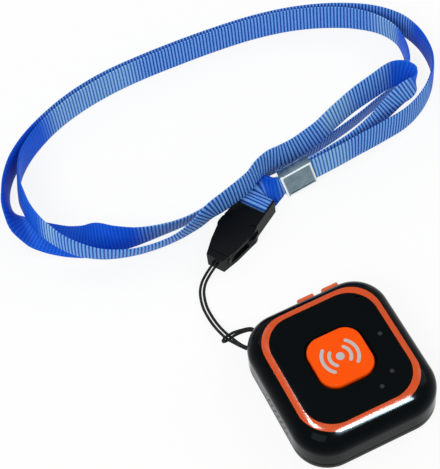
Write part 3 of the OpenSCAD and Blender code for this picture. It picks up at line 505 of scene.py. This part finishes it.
# %% Orange finishes
ring_abs = grained("gloss_orange_abs", "#CE4A14", "#DA5420", 0.5, (0.1, 0.18), cloud_mm=10.0, specular=0.2)
button_abs = grained("satin_orange_abs", "#FF5000", "#FF5A02", 0.35, (0.3, 0.4), bump_mm=0.002,
                     cloud_mm=6.0, specular=0.1)
key_abs = grained("pale_orange_abs", "#DE561E", "#E8622A", 0.4, (0.25, 0.34), cloud_mm=4.0)
dress(ring_abs, "accent_ring")
dress(button_abs, "alarm_button")
dress(key_abs, "power_key", "call_key")

# %% [markdown]
# The clip is nylon from a spark-eroded mould, which leaves a fine satin grain.
# The port door and the seal are soft rubber, which is duller and a little greyer than the case.

# %% Clip and rubber finishes
clip_nylon = grained("satin_black_nylon", "#060809", "#0C0F11", 0.25, (0.36, 0.5), bump_mm=0.006,
                     cloud_mm=5.0, specular=0.08)
soft_rubber = grained("soft_black_rubber", "#080A0B", "#0E1113", 0.3, (0.42, 0.55), bump_mm=0.004,
                      specular=0.1)
dress(clip_nylon, "clip_plug", "clip_socket")
dress(soft_rubber, "port_door", "case_seal", "microphone_boot")

# %% [markdown]
# The crimp is pressed from nickel-plated steel strip: a cool grey metal, blurred by small dents from the
# press. Its flat middle is a dark teal grey, a painted dark reflection, and its rolled rims carry a painted
# highlight.
# A rim is found from the place on the crimp, measured from its middle along it, through it and up it.

# %% Crimp finish
CRIMP_MIDDLE = (18.8 * MM, 61.9 * MM, 6.5 * MM)
CRIMP_TURN = math.radians(-1.15)
CRIMP_PITCH = math.radians(10.98)
CRIMP_HALF = (4.9 * MM, 1.5 * MM, 5.4 * MM)
crimp_ways = (Matrix.Rotation(CRIMP_TURN, 3, "Z") @ Matrix.Rotation(-CRIMP_PITCH, 3, "Y")).transposed()
# Dark teal nickel colours: a painted dark reflection on the flat middle.
crimp_nickel = grained("rolled_nickel_plate", "#4E626D", "#8398A3", 1.2, (0.16, 0.3), bump_mm=0.02,
                       metallic=1.0, cloud_mm=3.0)
tree = crimp_nickel.node_tree
crimp_colour = main_shader(crimp_nickel).inputs["Base Color"]
middle_tone = crimp_colour.links[0].from_socket
place = add(tree, "ShaderNodeTexCoord").outputs["Object"]
from_middle = add(tree, "ShaderNodeVectorMath", {"operation": "SUBTRACT"},
                  {0: place, 1: CRIMP_MIDDLE}).outputs[0]
away = []
for way, half in zip(crimp_ways, CRIMP_HALF):
    far = add(tree, "ShaderNodeVectorMath", {"operation": "DOT_PRODUCT"}, {0: from_middle, 1: way / half})
    away.append(maths(tree, "ABSOLUTE", far.outputs["Value"]))
along_it, through_it, up_it = away
# Near-white painted highlight on the rolled rims, found from the place on the crimp.
edge = ranged(tree, maths(tree, "MAXIMUM", along_it, up_it), 0.86, 0.93)
face = ranged(tree, through_it, 0.82, 0.92)
rim_highlight = maths(tree, "MULTIPLY", edge, face)
tree.links.new(blend(tree, rim_highlight, middle_tone, "#EEF6F8"), crimp_colour)
dress(crimp_nickel, "ribbon_crimp")

# %% [markdown]
# The other metals are inside the case or sunk in its back: turned and zinc-plated screws, tinned sheet that
# is pressed into screens and sockets, etched copper on film, and the embossed foil of a pouch cell.

# %% Metal finishes
screw_zinc = grained("turned_zinc_steel", "#9EA1A3", "#BDC0C1", 0.3, (0.24, 0.36), bump_mm=0.003,
                     metallic=1.0)
tinned_sheet = grained("pressed_tinned_steel", "#AEB1B3", "#C6C8C9", 0.5, (0.25, 0.4), bump_mm=0.004,
                       metallic=1.0)
copper_film = grained("etched_copper_film", "#A8642F", "#C27E46", 0.4, (0.3, 0.42), metallic=1.0)
cell_foil = grained("embossed_pouch_foil", "#8E9296", "#A6AAAD", 0.8, (0.35, 0.5), bump_mm=0.01, metallic=1.0)
dress(screw_zinc, "case_screws")
dress(tinned_sheet, "radio_module", "card_holder", "usb_socket", "microphone")
dress(copper_film, "cell_antenna")
dress(cell_foil, "battery")

# %% [markdown]
# The pieces inside the case hardly show, but a part that can be opened has real finishes there too:
# solder mask on the board, fired ceramic on the antenna, moulded switch bodies, natural acetal plungers.

# %% Finishes inside the case
solder_mask = grained("green_solder_mask", "#0F4A2A", "#17603A", 0.5, (0.25, 0.35), bump_mm=0.003)
ceramic = grained("fired_antenna_ceramic", "#A8946E", "#BCA984", 0.3, (0.45, 0.6), bump_mm=0.004)
switch_pbt = grained("moulded_black_pbt", "#191B1D", "#232628", 0.3, (0.45, 0.6), bump_mm=0.004)
acetal = grained("natural_acetal", "#D6D0C2", "#E4DFD2", 0.4, (0.4, 0.5))
foam = grained("die_cut_foam", "#CFC8B8", "#DDD7C8", 0.3, (0.8, 0.95), bump_mm=0.02)
mesh_cloth = grained("woven_acoustic_mesh", "#191B1C", "#2A2D2F", 0.2, (0.7, 0.85), bump_mm=0.02)
dress(solder_mask, "main_board")
dress(ceramic, "position_antenna")
dress(switch_pbt, "alarm_switch", "power_switch", "call_switch", "speaker")
dress(acetal, "alarm_switch_stem", "power_switch_stem", "call_switch_stem")
dress(foam, "battery_pad")
dress(mesh_cloth, "speaker_mesh")

# %% [markdown]
# The light guides are smoked clear plastic. Unlit, each shows as a dim grey dot.
# The glow is a soft clouding of the colour at random, not light of its own.

# %% Light guide finish
smoked_clear = grained("smoked_clear_acrylic", "#0D0F11", "#262A2D", 0.5, (0.12, 0.2), cloud_mm=0.7,
                       specular=0.3)
dress(smoked_clear, "light_guide_a", "light_guide_b", "light_guide_c", "status_leds")

# %% [markdown]
# Grosgrain ribbon is dyed polyester. The top of each rib catches the light and carries a painted highlight,
# the groove between two ribs is the deep blue dye with painted shade, and fine warp threads run along the
# strap.
# Some stretches carry a painted pale sheen where the ribs catch the light, and others are painted as plain
# satin where the light falls along the ribs, so the marks on the strap say where each of them is.

# %% Ribbon finish
WARP_PITCH = 0.55 * MM
WARP_SHARE = 0.1
DYE_CLOUD = 18 * MM
FIBRE_SIZE = 0.5 * MM
RIB_FOOT = 0.3
PALE_SHARE = 0.75
FLAT_LIT_SHARE = 0.9
RIB_RELIEF = 0.05 * MM


def ribbon_finish():
    """Blue ribbed weave that follows the places and marks kept on the strap."""
    finish, tree, shader = new_finish("dyed_polyester_grosgrain")
    along, width, flat_lit_mark, pale = (add(tree, "ShaderNodeAttribute", {"attribute_name": mark}).outputs["Fac"]
                                for mark in ("along", "across", "flat_lit_mark", "pale"))
    rib = maths(tree, "ABSOLUTE", maths(tree, "SINE", maths(tree, "MULTIPLY", along, math.pi / RIB_PITCH)))
    warp = maths(tree, "SINE", maths(tree, "MULTIPLY", width, 2 * math.pi / WARP_PITCH))
    place = add(tree, "ShaderNodeTexCoord").outputs["Object"]
    cloud = noise(tree, place, DYE_CLOUD, 3.0)
    fibre = noise(tree, place, FIBRE_SIZE, 3.0)
    top = ranged(tree, rib, RIB_FOOT, 1.0)
    thread = maths(tree, "MULTIPLY_ADD", warp, WARP_SHARE, top, clamp=True)
    # Pale rib tops are a painted highlight; the deep blue grooves are the dye with painted shade.
    shaded_groove = blend(tree, cloud, "#002688", "#023EAC")
    lit_crest = blend(tree, fibre, "#4E9AFA", "#98CEFF")
    ribbed = blend(tree, thread, shaded_groove, lit_crest)
    # Painted pale sheen for the stretches where the ribs catch the light.
    pale_sheen = blend(tree, thread, "#2C6CC0", "#A4D2F0")
    lit = blend(tree, maths(tree, "MULTIPLY", pale, PALE_SHARE), ribbed, pale_sheen)
    # Plain satin colour, painted where the light falls along the ribs.
    satin = blend(tree, cloud, "#0040C0", "#0868EC")
    colour = blend(tree, maths(tree, "MULTIPLY", flat_lit_mark, FLAT_LIT_SHARE), lit, satin)
    height = maths(tree, "MULTIPLY", thread, maths(tree, "MULTIPLY_ADD", flat_lit_mark, -FLAT_LIT_SHARE, 1.0))
    relief = add(tree, "ShaderNodeBump", None, {"Height": height, "Strength": 0.6, "Distance": RIB_RELIEF})
    rough = ranged(tree, fibre, 0.0, 1.0, 0.4, 0.58)
    tree.links.new(colour, shader.inputs["Base Color"])
    tree.links.new(relief.outputs["Normal"], shader.inputs["Normal"])
    tree.links.new(rough, shader.inputs["Roughness"])
    shader.inputs["Specular IOR Level"].default_value = 0.05
    return finish


grosgrain = ribbon_finish()
for piece in (outer_turn, inner_turn, ribbon_tab):
    piece.data.materials.append(grosgrain)
print(grosgrain.name, "rib pitch", round(RIB_PITCH / MM, 2), "mm")

# %% [markdown]
# The cord is braided from black polyester yarn: almost black, with small paler flecks where a yarn
# lies on top of the braid and catches the light.

# %% Cord finish
yarn_braid = grained("braided_black_polyester", "#040505", "#0E1011", 0.4, (0.5, 0.7), bump_mm=0.03,
                     cloud_mm=0.8, specular=0.2)
thin_cord.data.materials.append(yarn_braid)
print(yarn_braid.name, "on", thin_cord.name)

# %% [markdown]
# The button carries a raised sign. Here it is a plain picture of a call: a dot with two waves on each side.
# Each wave is a short arc with round ends, extruded a little above the button and printed in silver.

# %% Sign on the call button
SIGN_RISE = 0.08 * MM
SIGN_SINK = 0.01 * MM
SIGN_DOT = 1.15 * MM
SIGN_STROKE = 0.95 * MM
SIGN_WAVES = (2.9 * MM, 4.9 * MM)
SIGN_REACH = math.radians(46)
ARC_STEPS = 24
CAP_STEPS = 8


def wave_outline(radius, facing):
    """Points round a short arc with round ends, open towards the dot."""
    outside = [(radius + SIGN_STROKE / 2, a) for a in np.linspace(-SIGN_REACH, SIGN_REACH, ARC_STEPS)]
    inside = [(radius - SIGN_STROKE / 2, a) for a in np.linspace(SIGN_REACH, -SIGN_REACH, ARC_STEPS)]
    points = [Vector((r * math.cos(a), r * math.sin(a))) for r, a in outside]
    for end, line in ((SIGN_REACH, inside), (-SIGN_REACH, [])):
        middle = Vector((radius * math.cos(end), radius * math.sin(end)))
        first = end if end > 0 else end + math.pi
        for k in range(1, CAP_STEPS):
            a = first + math.pi * k / CAP_STEPS
            points.append(middle + Vector((math.cos(a), math.sin(a))) * SIGN_STROKE / 2)
        points += [Vector((r * math.cos(a), r * math.sin(a))) for r, a in line]
    return [Vector((facing * p.x, p.y)) for p in points]


def raised_sign(name, outlines, base_z):
    """One mesh of raised flat shapes on a plane."""
    sheet = bmesh.new()
    for outline in outlines:
        face = sheet.faces.new([sheet.verts.new((p.x, p.y, base_z)) for p in outline])
        face.normal_update()
        if face.normal.z < 0:
            face.normal_flip()
        raised = bmesh.ops.extrude_face_region(sheet, geom=[face])
        top = [v for v in raised["geom"] if isinstance(v, bmesh.types.BMVert)]
        bmesh.ops.translate(sheet, verts=top, vec=(0, 0, SIGN_RISE))
    bmesh.ops.recalc_face_normals(sheet, faces=sheet.faces)
    mesh = bpy.data.meshes.new(name)
    sheet.to_mesh(mesh)
    sheet.free()
    piece = bpy.data.objects.new(name, mesh)
    scene.collection.objects.link(piece)
    return piece


button_low, button_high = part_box("alarm_button")
dot = [Vector((SIGN_DOT * math.cos(a), SIGN_DOT * math.sin(a)))
       for a in np.linspace(0, 2 * math.pi, 2 * ARC_STEPS, endpoint=False)]
waves = [wave_outline(radius, facing) for radius in SIGN_WAVES for facing in (-1, 1)]
call_sign = raised_sign("call_sign", [dot] + waves, button_high.z - SIGN_SINK)
silver_print = grained("silver_pad_print", "#B8B0AE", "#CCC4C2", 0.3, (0.34, 0.46), cloud_mm=2.0,
                       specular=0.3)
call_sign.data.materials.append(silver_print)
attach(call_sign, "button")
print("sign", len(call_sign.data.polygons), "faces")

# %% [markdown]
# The table is a plain white sheet. To the camera it is mostly a white of its own, so that the background is
# clean, and partly a lit surface, so that a soft shadow stays under the case and the ribbon.



# %% Table
def background_rays(tree):
    """1 for rays that show the background: straight to the camera, mirrored or through something clear."""
    path = add(tree, "ShaderNodeLightPath")
    seen = path.outputs["Is Camera Ray"]
    for kind in ("Is Glossy Ray", "Is Transmission Ray"):
        seen = maths(tree, "MAXIMUM", seen, path.outputs[kind])
    return seen


TABLE_HALF = 1.5
TABLE_DROP = 0.0002
TABLE_WHITE = 0.88
corners = [(x, y, -TABLE_DROP) for x, y in ((-1, -1), (1, -1), (1, 1), (-1, 1))]
table_mesh = bpy.data.meshes.new("white_table")
table_mesh.from_pydata(corners, [], [(0, 1, 2, 3)])
table_mesh.transform(Matrix.Diagonal((TABLE_HALF, TABLE_HALF, 1, 1)))
table = bpy.data.objects.new("white_table", table_mesh)
scene.collection.objects.link(table)
table_paper = bpy.data.materials.new("white_table_paper")
table_paper.use_nodes = True
tree = table_paper.node_tree
tree.nodes.clear()
lit = add(tree, "ShaderNodeBsdfDiffuse", None, {"Color": linear("#FAFAFA")})
white = add(tree, "ShaderNodeEmission", None, {"Color": linear("#FFFFFF"), "Strength": 1.0})
share = maths(tree, "MULTIPLY", background_rays(tree), TABLE_WHITE)
mixed = add(tree, "ShaderNodeMixShader", None, {0: share, 1: lit.outputs[0], 2: white.outputs[0]})
add(tree, "ShaderNodeOutputMaterial", None, {"Surface": mixed.outputs[0]})
table_mesh.materials.append(table_paper)
print("table", 2 * TABLE_HALF, "m wide")

# %% [markdown]
# Soft studio light: a large soft lamp from the front left, and weaker ones from the right and from behind.
# Gloss black shows what is around it, so two small bright lamps overhead draw the white bands on the lower
# edge of the ring. They show only in reflections on the ring and the shell, so the light on the colours
# stays at a plain level.


# %% Lamps
def soft_lamp(name, place, target, size, power):
    """Square or oblong lamp at a place, turned to a target, in metres and watts."""
    data = bpy.data.lights.new(name, "AREA")
    data.shape = "RECTANGLE"
    data.size, data.size_y = size
    data.energy = power
    lamp = bpy.data.objects.new(name, data)
    lamp.location = place
    lamp.rotation_mode = "QUATERNION"
    lamp.rotation_quaternion = (Vector(target) - Vector(place)).to_track_quat("-Z", "Y")
    scene.collection.objects.link(lamp)
    return lamp


MIDDLE = (0.0, 0.06, 0.0)
soft_lamp("front_left_softbox", (-0.7, -0.5, 0.9), MIDDLE, (0.7, 0.7), 7.2)
soft_lamp("right_softbox", (0.9, 0.1, 0.7), MIDDLE, (0.6, 0.6), 3.6)
soft_lamp("top_back_softbox", (-0.3, 0.9, 0.8), MIDDLE, (0.8, 0.4), 2.4)
edge_strip = soft_lamp("edge_strip", (0.11, -0.26, 0.44), (0.008, -0.02, 0.013), (0.05, 0.2), 18.0)
corner_strip = soft_lamp("corner_strip", (-0.085, 0.13, 0.5), (-0.015, -0.016, 0.014), (0.07, 0.11), 8.0)
gloss_edges = bpy.data.collections.new("gloss_edges")
for name in ("front_shell", "accent_ring"):
    gloss_edges.objects.link(nodes[name])
for strip in (edge_strip, corner_strip):
    strip.visible_diffuse = False
    strip.light_linking.receiver_collection = gloss_edges

# %% [markdown]
# Around the lamps is a dim, even room that fills the shadows. Where the camera sees past the table, straight
# or in a reflection, the room is plain white, so the background has one tone.

# %% Room
ROOM_LIGHT = 0.4
world = bpy.data.worlds.new("studio_room")
scene.world = world
world.use_nodes = True
tree = world.node_tree
tree.nodes.clear()
room = add(tree, "ShaderNodeBackground", None, {"Color": linear("#FFFFFF"), "Strength": ROOM_LIGHT})
clear_white = add(tree, "ShaderNodeBackground", None, {"Color": linear("#FFFFFF"), "Strength": 1.0})
mixed = add(tree, "ShaderNodeMixShader", None,
            {0: background_rays(tree), 1: room.outputs[0], 2: clear_white.outputs[0]})
add(tree, "ShaderNodeOutputWorld", None, {"Surface": mixed.outputs[0]})
scene.view_settings.view_transform = "Standard"
print("room light", ROOM_LIGHT)
